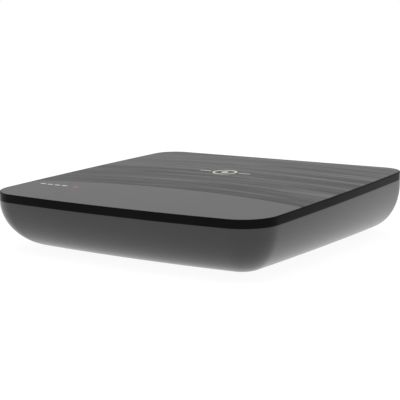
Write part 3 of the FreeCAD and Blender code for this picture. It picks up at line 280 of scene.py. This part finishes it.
def keyhole_outline(x, y, count=40):
    """A round hole with a narrow round-ended slot towards the back, anticlockwise."""
    start = math.acos(KEYHOLE_SLOT_HALF / KEYHOLE_RADIUS)
    angles = np.linspace(math.pi - start, 2 * math.pi + start, count)
    hole = np.stack([x + KEYHOLE_RADIUS * np.cos(angles), y + KEYHOLE_RADIUS * np.sin(angles)], axis=1)
    ends = np.linspace(0, math.pi, 12)
    slot = np.stack([x + KEYHOLE_SLOT_HALF * np.cos(ends),
                     y + KEYHOLE_REACH + KEYHOLE_SLOT_HALF * np.sin(ends)], axis=1)
    return np.vstack([hole, slot])


def prism(name, points, low, high):
    """A plan outline raised from low to high."""
    return ring_solid(name, [np.column_stack([points, np.full(len(points), z)]) for z in (low, high)])


def lathe(name, centre, profile, count=48):
    """A solid turned about a line along Y through (x, z); the profile gives (radius, y) pairs."""
    rings = []
    for radius, y in profile:
        circle = ring_points(centre, radius, count)
        rings.append(np.stack([circle[:, 0], np.full(count, y), circle[:, 1]], axis=1))
    return ring_solid(name, rings)


def printed(name, shapes, place, low=0.0, high=PRINT):
    """Flat printed shapes as one piece. A shape is an outline, or a pair for a ring.

    place(point, lift) gives the vertex for a point of an outline, lifted off the surface.
    """
    vertices, faces = [], []
    for outer, inner in shapes:
        count, base = len(outer), len(vertices)
        for points in (outer,) if inner is None else (outer, inner):
            for lift in (low, high):
                vertices += [place(point, lift) for point in points]
        top, far = base + count, base + 2 * count
        for i in range(count):
            j = (i + 1) % count
            faces.append([base + i, base + j, top + j, top + i])
            if inner is not None:
                faces.append([far + j, far + i, far + count + i, far + count + j])
                faces.append([top + i, top + j, far + count + j, far + count + i])
                faces.append([base + j, base + i, far + i, far + j])
        if inner is None:
            faces.append([top + i for i in range(count)])
            faces.append([base + i for i in reversed(range(count))])
    return add_piece(name, vertices, faces)


def carve(piece, cutters):
    """Cut the joined cutters out of a piece."""
    bpy.ops.object.select_all(action="DESELECT")
    for cutter in cutters:
        cutter.select_set(True)
    bpy.context.view_layer.objects.active = cutters[0]
    bpy.ops.object.join()
    tool = bpy.context.view_layer.objects.active
    modifier = piece.modifiers.new("cut", "BOOLEAN")
    modifier.operation = "DIFFERENCE"
    modifier.solver = "EXACT"
    modifier.object = tool
    bpy.context.view_layer.update()
    apply_modifiers(piece)
    bpy.data.objects.remove(tool)
    shade_smooth(piece)


# ---------------------------------------------------------------- procedural materials

CLOUD_SCALE = 35    # colour clouds per metre

# the top panel's streaks in layers: per metre of radius, per radian, detail and weight
STREAKS = ((80, 2, 1, 0.30), (210, 2.4, 2, 0.35), (520, 4, 3, 0.35))
STREAK_LEFT, STREAK_RIGHT = 0.35, 1.0        # strength at each end of the streaks' span
STREAK_SPAN = (-0.10, 0.03)                  # metres from the middle
BEHIND_NEAR, BEHIND_FAR, BEHIND_REACH = -0.045, 0.015, 120    # painted shade: darker just behind the arc, painted light further back
ACROSS_LEFT, ACROSS_RIGHT, ACROSS_SPAN = 0.008, -0.014, 0.10  # painted shade: darker to the right
TONE_SPAN = 0.075
BRUSH_DARK = (0.0015, 0.001, 0.0012)
BRUSH_LIGHT = (0.116, 0.108, 0.112)
BRUSH_ROUGH, BRUSH_SPECULAR, BRUSH_RELIEF = 0.32, 0.42, 0.0010


def new_material(name):
    """A material, its node tree and its shader."""
    material = bpy.data.materials.new(name)
    material.use_nodes = True
    tree = material.node_tree
    return material, tree, tree.nodes["Principled BSDF"]


def object_space(tree, scale=(1, 1, 1)):
    """Object coordinates, scaled along each axis."""
    place = tree.nodes.new("ShaderNodeTexCoord")
    mapping = tree.nodes.new("ShaderNodeMapping")
    mapping.inputs["Scale"].default_value = scale
    tree.links.new(place.outputs["Object"], mapping.inputs["Vector"])
    return mapping.outputs["Vector"]


def noise(tree, vector, scale, detail=4, roughness=0.55):
    """Fractal noise, mostly between 0.3 and 0.7."""
    node = tree.nodes.new("ShaderNodeTexNoise")
    node.inputs["Scale"].default_value = scale
    node.inputs["Detail"].default_value = detail
    node.inputs["Roughness"].default_value = roughness
    tree.links.new(vector, node.inputs["Vector"])
    return node.outputs["Fac"]


def remap(tree, source, low, high, start=0.3, end=0.7):
    """The source's range from start to end, brought to low and high and held there."""
    node = tree.nodes.new("ShaderNodeMapRange")
    for socket, number in (("From Min", start), ("From Max", end), ("To Min", low), ("To Max", high)):
        node.inputs[socket].default_value = number
    tree.links.new(source, node.inputs["Value"])
    return node.outputs["Result"]


def mixed(tree, factor, first, second):
    """A colour between two, by a factor from 0 to 1."""
    node = tree.nodes.new("ShaderNodeMix")
    node.data_type = "RGBA"
    node.inputs["A"].default_value = (*first, 1)
    node.inputs["B"].default_value = (*second, 1)
    tree.links.new(factor, node.inputs["Factor"])
    return node.outputs["Result"]


def bump(tree, shader, height, strength, distance):
    """Relief in the shader's normal; the distance is in metres."""
    node = tree.nodes.new("ShaderNodeBump")
    node.inputs["Strength"].default_value = strength
    node.inputs["Distance"].default_value = distance
    tree.links.new(height, node.inputs["Height"])
    tree.links.new(node.outputs["Normal"], shader.inputs["Normal"])


def surface(name, colour, rough, metal=0.0, specular=0.5, vary=0.25, grain=900, stretch=(1, 1, 1),
            bump_strength=0.15, bump_depth=0.00003, coat=0.0, uneven=0.2):
    """A finish with cloudy colour, uneven gloss and a fine grain that bends the light.

    vary and uneven are the spread of the colour and of the roughness, as a part of each.
    """
    material, tree, shader = new_material(name)
    shader.inputs["Metallic"].default_value = metal
    shader.inputs["Specular IOR Level"].default_value = specular
    shader.inputs["Coat Weight"].default_value = coat
    cloud = noise(tree, object_space(tree), CLOUD_SCALE)
    fine = noise(tree, object_space(tree, stretch), grain, detail=3)
    dark = tuple(part * (1 - vary) for part in colour)
    light = tuple(min(part * (1 + vary), 1) for part in colour)
    tree.links.new(mixed(tree, remap(tree, cloud, 0, 1), dark, light), shader.inputs["Base Color"])
    gloss = remap(tree, fine, rough * (1 - uneven), min(rough * (1 + uneven), 1))
    tree.links.new(gloss, shader.inputs["Roughness"])
    if bump_strength:
        bump(tree, shader, fine, bump_strength, bump_depth)
    return material


def arithmetic(tree, operation, first, second=None):
    """One Math node; each operand is a number or a socket."""
    node = tree.nodes.new("ShaderNodeMath")
    node.operation = operation
    for index, source in enumerate((first, second)):
        if isinstance(source, (int, float)):
            node.inputs[index].default_value = source
        elif source is not None:
            tree.links.new(source, node.inputs[index])
    return node.outputs["Value"]


def polar_place(tree):
    """The radius and the angle about the band's centre, and the distance to the right."""
    place = tree.nodes.new("ShaderNodeTexCoord")
    split = tree.nodes.new("ShaderNodeSeparateXYZ")
    tree.links.new(place.outputs["Object"], split.inputs["Vector"])
    x = split.outputs["X"]
    y = arithmetic(tree, "SUBTRACT", split.outputs["Y"], BAND_CENTRE_Y * MM)
    square_x, square_y = (arithmetic(tree, "MULTIPLY", side, side) for side in (x, y))
    radius = arithmetic(tree, "SQRT", arithmetic(tree, "ADD", square_x, square_y))
    return radius, arithmetic(tree, "ARCTAN2", x, y), x


def arc_noise(tree, radius, angle, across, along, detail):
    """Noise stretched along the arcs: across per metre of radius, along per radian."""
    combine = tree.nodes.new("ShaderNodeCombineXYZ")
    tree.links.new(arithmetic(tree, "MULTIPLY", radius, across), combine.inputs["X"])
    tree.links.new(arithmetic(tree, "MULTIPLY", angle, along), combine.inputs["Y"])
    return noise(tree, combine.outputs["Vector"], 1, detail=detail, roughness=0.5)


def brushed_black():
    """The top panel: dark plastic with long streaks that follow the band's arc, with painted shade just
    behind the arc and towards the right.
    """
    material, tree, shader = new_material("brushed_black")
    radius, angle, x = polar_place(tree)
    streak = 0
    for across, along, detail, weight in STREAKS:
        layer = arithmetic(tree, "MULTIPLY", arc_noise(tree, radius, angle, across, along, detail), weight)
        streak = arithmetic(tree, "ADD", streak, layer)
    strength = remap(tree, x, STREAK_LEFT, STREAK_RIGHT, *STREAK_SPAN)
    level = arithmetic(tree, "MULTIPLY", arithmetic(tree, "SUBTRACT", streak, 0.5), strength)
    # painted shade just behind the arc, fading to painted light further back
    arc, reach = BAND_RADIUS * MM, (BAND_RADIUS + BEHIND_REACH) * MM
    behind = remap(tree, radius, BEHIND_NEAR, BEHIND_FAR, arc, reach)
    # painted shade: the panel darker towards the right
    painted_shade_across = remap(tree, x, ACROSS_LEFT, ACROSS_RIGHT, -ACROSS_SPAN, ACROSS_SPAN)
    # the streaks together with the painted shade and light
    tone = arithmetic(tree, "ADD", arithmetic(tree, "ADD", level, behind), painted_shade_across)
    shade = remap(tree, tone, 0, 1, -TONE_SPAN, TONE_SPAN)
    tree.links.new(mixed(tree, shade, BRUSH_DARK, BRUSH_LIGHT), shader.inputs["Base Color"])
    shader.inputs["Roughness"].default_value = BRUSH_ROUGH
    shader.inputs["Specular IOR Level"].default_value = BRUSH_SPECULAR
    bump(tree, shader, level, 1, BRUSH_RELIEF)
    return material


def shell_black():
    """The bowl: satin black plastic with a very fine spark-eroded grain."""
    return surface("shell_black", (0.022, 0.022, 0.022), 0.22, specular=0.5, vary=0.08, grain=1600,
                   bump_strength=0.08, bump_depth=0.00001)


def rim_black():
    """The cover's rim: polished, very dark, with faint wipe marks."""
    return surface("rim_black", (0.005, 0.005, 0.005), 0.16, specular=0.03, vary=0.2, grain=500,
                   bump_strength=0.03, bump_depth=0.00001)


def band_black():
    """The smooth front band: dark grey with an even sheen."""
    return surface("band_black", (0.074, 0.073, 0.074), 0.30, specular=0.5, vary=0.04, grain=60,
                   bump_strength=0, uneven=0.02)


MATERIALS = {
    "black_plastic": shell_black(),
    "gloss_black": rim_black(),
    "brushed_black": brushed_black(),
    "band_black": band_black(),
    "clear_plastic": surface("clear_plastic", (0.75, 0.02, 0.015), 0.15, coat=0.5, grain=400),
    "rubber": surface("rubber", (0.018, 0.018, 0.018), 0.75, specular=0.3, grain=1200, bump_strength=0.4),
    "zinc_screw": surface("zinc_screw", (0.58, 0.58, 0.55), 0.32, metal=1, grain=1500),
    "sheet_steel": surface("sheet_steel", (0.52, 0.53, 0.54), 0.38, metal=1, grain=900, stretch=(1, 1, 12)),
    "black_panel": surface("black_panel", (0.022, 0.022, 0.022), 0.5, grain=2200, bump_strength=0.35),
    "board_green": surface("board_green", (0.015, 0.14, 0.06), 0.35, grain=600, coat=0.3),
    "chip_black": surface("chip_black", (0.02, 0.02, 0.021), 0.55, grain=1800),
    "alloy": surface("alloy", (0.62, 0.63, 0.64), 0.35, metal=1, grain=1200, stretch=(1, 14, 1)),
    "cast_alloy": surface("cast_alloy", (0.45, 0.46, 0.47), 0.5, metal=1, grain=900, bump_strength=0.4),
    "white_nylon": surface("white_nylon", (0.78, 0.76, 0.68), 0.45, vary=0.06, grain=900),
    "black_nylon": surface("black_nylon", (0.02, 0.02, 0.021), 0.48, grain=1500, bump_strength=0.25),
    "blue_plastic": surface("blue_plastic", (0.015, 0.05, 0.42), 0.4, vary=0.1, grain=900),
    "red_plastic": surface("red_plastic", (0.5, 0.02, 0.02), 0.45, vary=0.1, grain=900),
    "yellow_plastic": surface("yellow_plastic", (0.8, 0.5, 0.03), 0.45, vary=0.1, grain=900),
    "grey_ribbon": surface("grey_ribbon", (0.35, 0.35, 0.37), 0.5, grain=900, stretch=(20, 1, 1)),
    "nickel": surface("nickel", (0.66, 0.65, 0.62), 0.22, metal=1, vary=0.08, grain=1200),
    "gold": surface("gold", (0.83, 0.58, 0.2), 0.25, metal=1, vary=0.08, grain=1200),
    "mirror_disk": surface("mirror_disk", (0.85, 0.85, 0.86), 0.05, metal=1, vary=0.02, grain=300),
    "lamp_red": surface("lamp_red", (0.7, 0.03, 0.02), 0.25, grain=400),
}


def dress(piece, name, body="recorder"):
    """Give a new piece its material and its body."""
    piece.data.materials.clear()
    piece.data.materials.append(MATERIALS[name])
    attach(piece, body)
    return piece


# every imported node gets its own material; the finer pieces below take the place of some
for part in frame["record"]["subparts"]:
    node = frame["nodes"][part["node"]]
    node.data.materials.clear()
    node.data.materials.append(MATERIALS[part["material_slot"]])


# ---------------------------------------------------------------- case

def make_case_shell():
    """The bowl with its wall, rear opening, vents, keyholes, screw holes and foot recesses."""
    angles = quarter_turn(34)
    rings = [bowl_ring(WALL, angle) for angle in reversed(angles)]
    for turn in quarter_turn(4):
        rings.append(rim_ring(SHELL_ROUND * (1 - math.sin(turn)), -SHELL_ROUND * (1 - math.cos(turn))))
    rings += [bowl_ring(0, angle) for angle in angles[1:]]
    shell = ring_solid("case_shell", rings)
    low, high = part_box("rear_panel")
    cutters = [add_piece("rear_cut", *box_mesh((-REAR_OPENING_HALF, high[1] / MM, REAR_OPENING_LOW),
                                               (REAR_OPENING_HALF, REAR_CUT_END, REAR_OPENING_HIGH)))]
    for number in range(VENTS):
        left = (number - (VENTS - 1) / 2) * VENT_PITCH - VENT_WIDTH / 2
        vent = box_mesh((left, VENT_Y, VENT_CUT_LOW),
                        (left + VENT_WIDTH, VENT_Y + VENT_LENGTH, VENT_CUT_HIGH))
        cutters.append(add_piece("vent_cut", *vent))
    for side in (-1, 1):
        cutters.append(prism("keyhole_cut", keyhole_outline(side * KEYHOLE_X, 0), 0, KEYHOLE_CUT_HIGH))
        for y in (-FOOT_Y, FOOT_Y):
            foot = ring_points((side * FOOT_X, y), FOOT_POCKET_RADIUS, 48)
            cutters.append(prism("foot_cut", foot, 0, FOOT_POCKET_TOP))
        tower = ring_points((side * TOWER_X, TOWER_Y), TOWER_HOLE_RADIUS, 48)
        cutters.append(prism("tower_cut", tower, 0, TOWER_HOLE_TOP))
    carve(shell, cutters)
    dress(shell, "black_plastic")
    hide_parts("bottom_shell")


def make_cover():
    """The cover: a rounded rim round a recessed deck."""
    rings = [rim_ring(COVER_WALL, RIM - COVER_PLATE), rim_ring(COVER_WALL, 0)]
    for turn in quarter_turn(4):
        rings.append(rim_ring(RIM_LOW_ROUND * (1 - math.sin(turn)), RIM_LOW_ROUND * (1 - math.cos(turn))))
    for lift in np.linspace(RIM_LOW_ROUND, RIM - RIM_TOP_ROUND, 6)[1:-1]:
        rings.append(rim_ring(0, lift))
    for turn in quarter_turn(6):
        inward, drop = RIM_TOP_ROUND * (1 - math.cos(turn)), RIM_TOP_ROUND * (1 - math.sin(turn))
        rings.append(rim_ring(inward, RIM - drop))
    rings.append(rim_ring(DECK_BORDER - 0.2, RIM))
    rings.append(rim_ring(DECK_BORDER, RIM - 0.05))
    rings.append(rim_ring(DECK_BORDER, RIM - DECK_RECESS))
    cover = ring_solid("cover", rings)
    dress(cover, "gloss_black")
    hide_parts("top_cover")


def clipped(points, radius, keep_inside):
    """The part of a closed outline inside or outside a circle about the band's centre, closed by its arc."""
    centre = np.array([0, BAND_CENTRE_Y])
    reach = np.linalg.norm(points - centre, axis=1)
    kept = reach < radius if keep_inside else reach > radius
    count = len(points)
    start = next(i for i in range(count) if kept[i] and not kept[i - 1])
    run = []
    index = start
    while kept[index % count]:
        run.append(index % count)
        index += 1

    def crossing(inner, outer):
        part = (radius - reach[inner]) / (reach[outer] - reach[inner])
        return points[inner] + (points[outer] - points[inner]) * part

    first = crossing(start, start - 1)
    last = crossing(run[-1], (run[-1] + 1) % count)
    arc = arc_points(centre, radius, (last - centre) / radius, (first - centre) / radius, 90)
    return np.vstack([points[run], arc])


def make_deck():
    """The brushed panel and the smooth band, with a fine gap along the arc."""
    border = case_outline(DECK_BORDER + DECK_GAP)
    rear = clipped(border, BAND_RADIUS + BAND_GAP / 2, False)
    front = clipped(border, BAND_RADIUS - BAND_GAP / 2, True)
    panel = dress(deck_plate("deck_panel", rear), "brushed_black")
    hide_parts("top_panel")
    band = dress(deck_plate("deck_band", front), "band_black")
    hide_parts("front_band")


def make_marks():
    """A plain ring with a dot and two bars on the panel, and a row of bars beside the red light."""
    def on_top(point, lift):
        return point[0], point[1], top_plane(point[1]) + lift

    centre = (SIGN_X, SIGN_Y)
    shapes = [(ring_points(centre, SIGN_OUTER), ring_points(centre, SIGN_INNER)),
              (ring_points(centre, SIGN_DOT), None)]
    for offset in (-SIGN_BAR_OFFSET, SIGN_BAR_OFFSET):
        shapes.append((rounded_bar((SIGN_X + offset, SIGN_Y), SIGN_BAR_LENGTH, SIGN_BAR_WIDTH), None))
    dress(printed("lens_sign", shapes, on_top), "white_nylon")
    bars = [(rounded_bar((LIGHT_MARK_X + LIGHT_MARK_PITCH * number, LIGHT_MARK_Y),
                         LIGHT_MARK_LENGTH, LIGHT_MARK_WIDTH), None) for number in range(LIGHT_MARKS)]
    dress(printed("light_marks", bars, on_top), "white_nylon")


def make_status_lens():
    """A low red dome over the light pipe."""
    light = (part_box("status_light_pipe")[0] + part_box("status_light_pipe")[1]) / 2 / MM
    rings = []
    for turn in np.linspace(0, math.pi / 2 * 0.96, 8):
        rise = LENS_RISE * math.sin(turn) - LENS_SUNK
        circle = ring_points(light[:2], LENS_RADIUS * math.cos(turn), 40)
        rings.append(with_height(circle, lambda y: top_plane(y) + rise))
    lens = dress(ring_solid("status_lens", rings), "clear_plastic")
    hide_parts("status_light_pipe")


def make_ground_screw():
    """A pan-head earth screw with a cross recess, in place of the plain one."""
    low, high = (np.array(corner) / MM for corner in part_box("ground_screw"))
    x, z = (low[0] + high[0]) / 2, (low[2] + high[2]) / 2
    radius, tip, face = (high[0] - low[0]) / 2, low[1], high[1]
    seat = face - SCREW_HEAD
    dome = [(radius * math.cos(turn), face - 1 + math.sin(turn)) for turn in np.linspace(0.15, 1.35, 7)]
    shank = [(SCREW_POINT, tip), (SCREW_SHANK, tip + SCREW_CHAMFER), (SCREW_SHANK, seat), (radius, seat)]
    screw = lathe("earth_screw", (x, z), shank + dome)
    for length, width in ((CROSS_LENGTH, CROSS_WIDTH), (CROSS_WIDTH, CROSS_LENGTH)):
        carve(screw, [add_piece("recess", *box_mesh((x - length / 2, face - CROSS_DEPTH, z - width / 2),
                                                    (x + length / 2, face + 1, z + width / 2)))])
    dress(screw, "zinc_screw")
    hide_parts("ground_screw")


def make_network_contacts():
    """Eight gold springs that rise towards the mouth of the network jack."""
    vertices, faces = [], []
    for number in range(CONTACTS):
        x = NETWORK_X + (number - (CONTACTS - 1) / 2) * CONTACT_PITCH
        corners, sides = box_mesh((x - CONTACT_WIDTH / 2, CONTACT_INNER, CONTACT_LOW),
                                  (x + CONTACT_WIDTH / 2, CONTACT_MOUTH, CONTACT_HIGH))
        faces += [[len(vertices) + i for i in side] for side in sides]
        vertices += [(across, y, z + CONTACT_SLOPE * (y - CONTACT_INNER)) for across, y, z in corners]
    springs = add_piece("network_contacts", vertices, faces)
    dress(springs, "gold")


def make_rocker_marks():
    """A bar and a ring printed on the two halves of the power rocker."""
    rocker = frame["nodes"]["power_rocker"]
    low, high = (np.array(corner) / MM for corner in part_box("power_rocker"))
    middle = (low[2] + high[2]) / 2
    outside = high[1] + 5

    def on_rocker(point, lift):
        x, z = point
        hit_place = rocker.ray_cast(Vector((x, outside, z)) * MM, Vector((0, -1, 0)))[1]
        return x, hit_place.y / MM + lift, z

    bar_centre = (middle, ROCKER_X + ROCKER_SIGN_OFFSET)
    bar = rounded_bar(bar_centre, ROCKER_BAR_LENGTH, ROCKER_BAR_WIDTH)[:, ::-1]
    ring = [ring_points((ROCKER_X - ROCKER_SIGN_OFFSET, middle), radius, 32)
            for radius in (ROCKER_RING_OUTER, ROCKER_RING_INNER)]
    marks = printed("rocker_marks", [(bar, None), ring], on_rocker, low=-PRINT_SUNK)
    dress(marks, "white_nylon", "rocker")


make_case_shell()
make_cover()
make_deck()
make_marks()
make_status_lens()
make_ground_screw()
make_network_contacts()
make_rocker_marks()


# ---------------------------------------------------------------- studio

FLOOR_REACH, FLOOR_GLOW, FLOOR_DARK, FLOOR_LIGHT = 60000, 0.93, 0.13, 0.15
# brightness of the surroundings by the sine of the height above the horizon
SURROUNDINGS = [(0.0, 1.0), (0.02, 1.0), (0.07, 0.50), (0.35, 0.46), (0.75, 0.7), (1.0, 0.7)]
# the camera stands to the right of the front; angles in degrees, distances in metres, lens in millimetres
CAMERA_AZIMUTH, CAMERA_ELEVATION, CAMERA_DISTANCE = -32.96, 9.19, 0.75669
CAMERA_AIM_X, CAMERA_AIM_Z, CAMERA_SENSOR, CAMERA_LENS = -3.712, 26.005, 36, 103.127

def make_floor():
    """A plain white table, lit from within as a light table is."""
    material, tree, shader = new_material("studio_floor")
    shader.inputs["Roughness"].default_value = 0.9
    shader.inputs["Specular IOR Level"].default_value = 0
    shader.inputs["Emission Color"].default_value = (1, 1, 1, 1)
    shader.inputs["Emission Strength"].default_value = FLOOR_GLOW
    cloud = noise(tree, object_space(tree), 0.8)
    tree.links.new(mixed(tree, cloud, (FLOOR_DARK,) * 3, (FLOOR_LIGHT,) * 3), shader.inputs["Base Color"])
    corners = [(x * FLOOR_REACH, y * FLOOR_REACH, 0) for x, y in ((-1, -1), (1, -1), (1, 1), (-1, 1))]
    floor = add_piece("floor", corners, [[0, 1, 2, 3]])
    floor.data.materials.append(material)


def make_world():
    """White at the horizon, a grey wall above it and a bright ceiling."""
    world = bpy.data.worlds.new("studio")
    bpy.context.scene.world = world
    world.use_nodes = True
    tree = world.node_tree
    place = tree.nodes.new("ShaderNodeTexCoord")
    split = tree.nodes.new("ShaderNodeSeparateXYZ")
    tree.links.new(place.outputs["Generated"], split.inputs["Vector"])
    ramp = tree.nodes.new("ShaderNodeValToRGB")
    elements = ramp.color_ramp.elements
    while len(elements) < len(SURROUNDINGS):
        elements.new(0.5)
    for element, (position, level) in zip(elements, SURROUNDINGS):
        element.position = position
        element.color = (level, level, level, 1)
    tree.links.new(split.outputs["Z"], ramp.inputs["Fac"])
    background = tree.nodes["Background"]
    tree.links.new(ramp.outputs["Color"], background.inputs["Color"])
    background.inputs["Strength"].default_value = 1.0


def area_light(name, place, aim, size, power):
    """A rectangular lamp of some watts; places and sizes are in metres."""
    light = bpy.data.lights.new(name, "AREA")
    light.shape = "RECTANGLE"
    light.size, light.size_y = size
    light.energy = power
    lamp = bpy.data.objects.new(name, light)
    lamp.location = place
    lamp.rotation_euler = (Vector(aim) - Vector(place)).to_track_quat("-Z", "Y").to_euler()
    bpy.context.scene.collection.objects.link(lamp)


def make_camera():
    """The main view: about 33 degrees to the right of the front and 9 degrees above."""
    azimuth, elevation = math.radians(CAMERA_AZIMUTH), math.radians(CAMERA_ELEVATION)
    target = Vector((CAMERA_AIM_X, CASE_SHIFT, CAMERA_AIM_Z + FOOT)) * MM
    direction = Vector((math.sin(azimuth) * math.cos(elevation), math.cos(azimuth) * math.cos(elevation),
                        -math.sin(elevation)))
    camera = bpy.data.cameras.new("camera")
    camera.sensor_width = CAMERA_SENSOR
    camera.lens = CAMERA_LENS
    camera.clip_end = 500
    viewer = bpy.data.objects.new("camera", camera)
    viewer.location = target - direction * CAMERA_DISTANCE
    viewer.rotation_euler = direction.to_track_quat("-Z", "Y").to_euler()
    bpy.context.scene.collection.objects.link(viewer)
    bpy.context.scene.camera = viewer


make_floor()
make_world()
area_light("overhead", (0.1, -0.2, 1.6), (0, 0, 0), (1.8, 1.8), 12)
make_camera()
bpy.context.scene.view_settings.view_transform = "Standard"
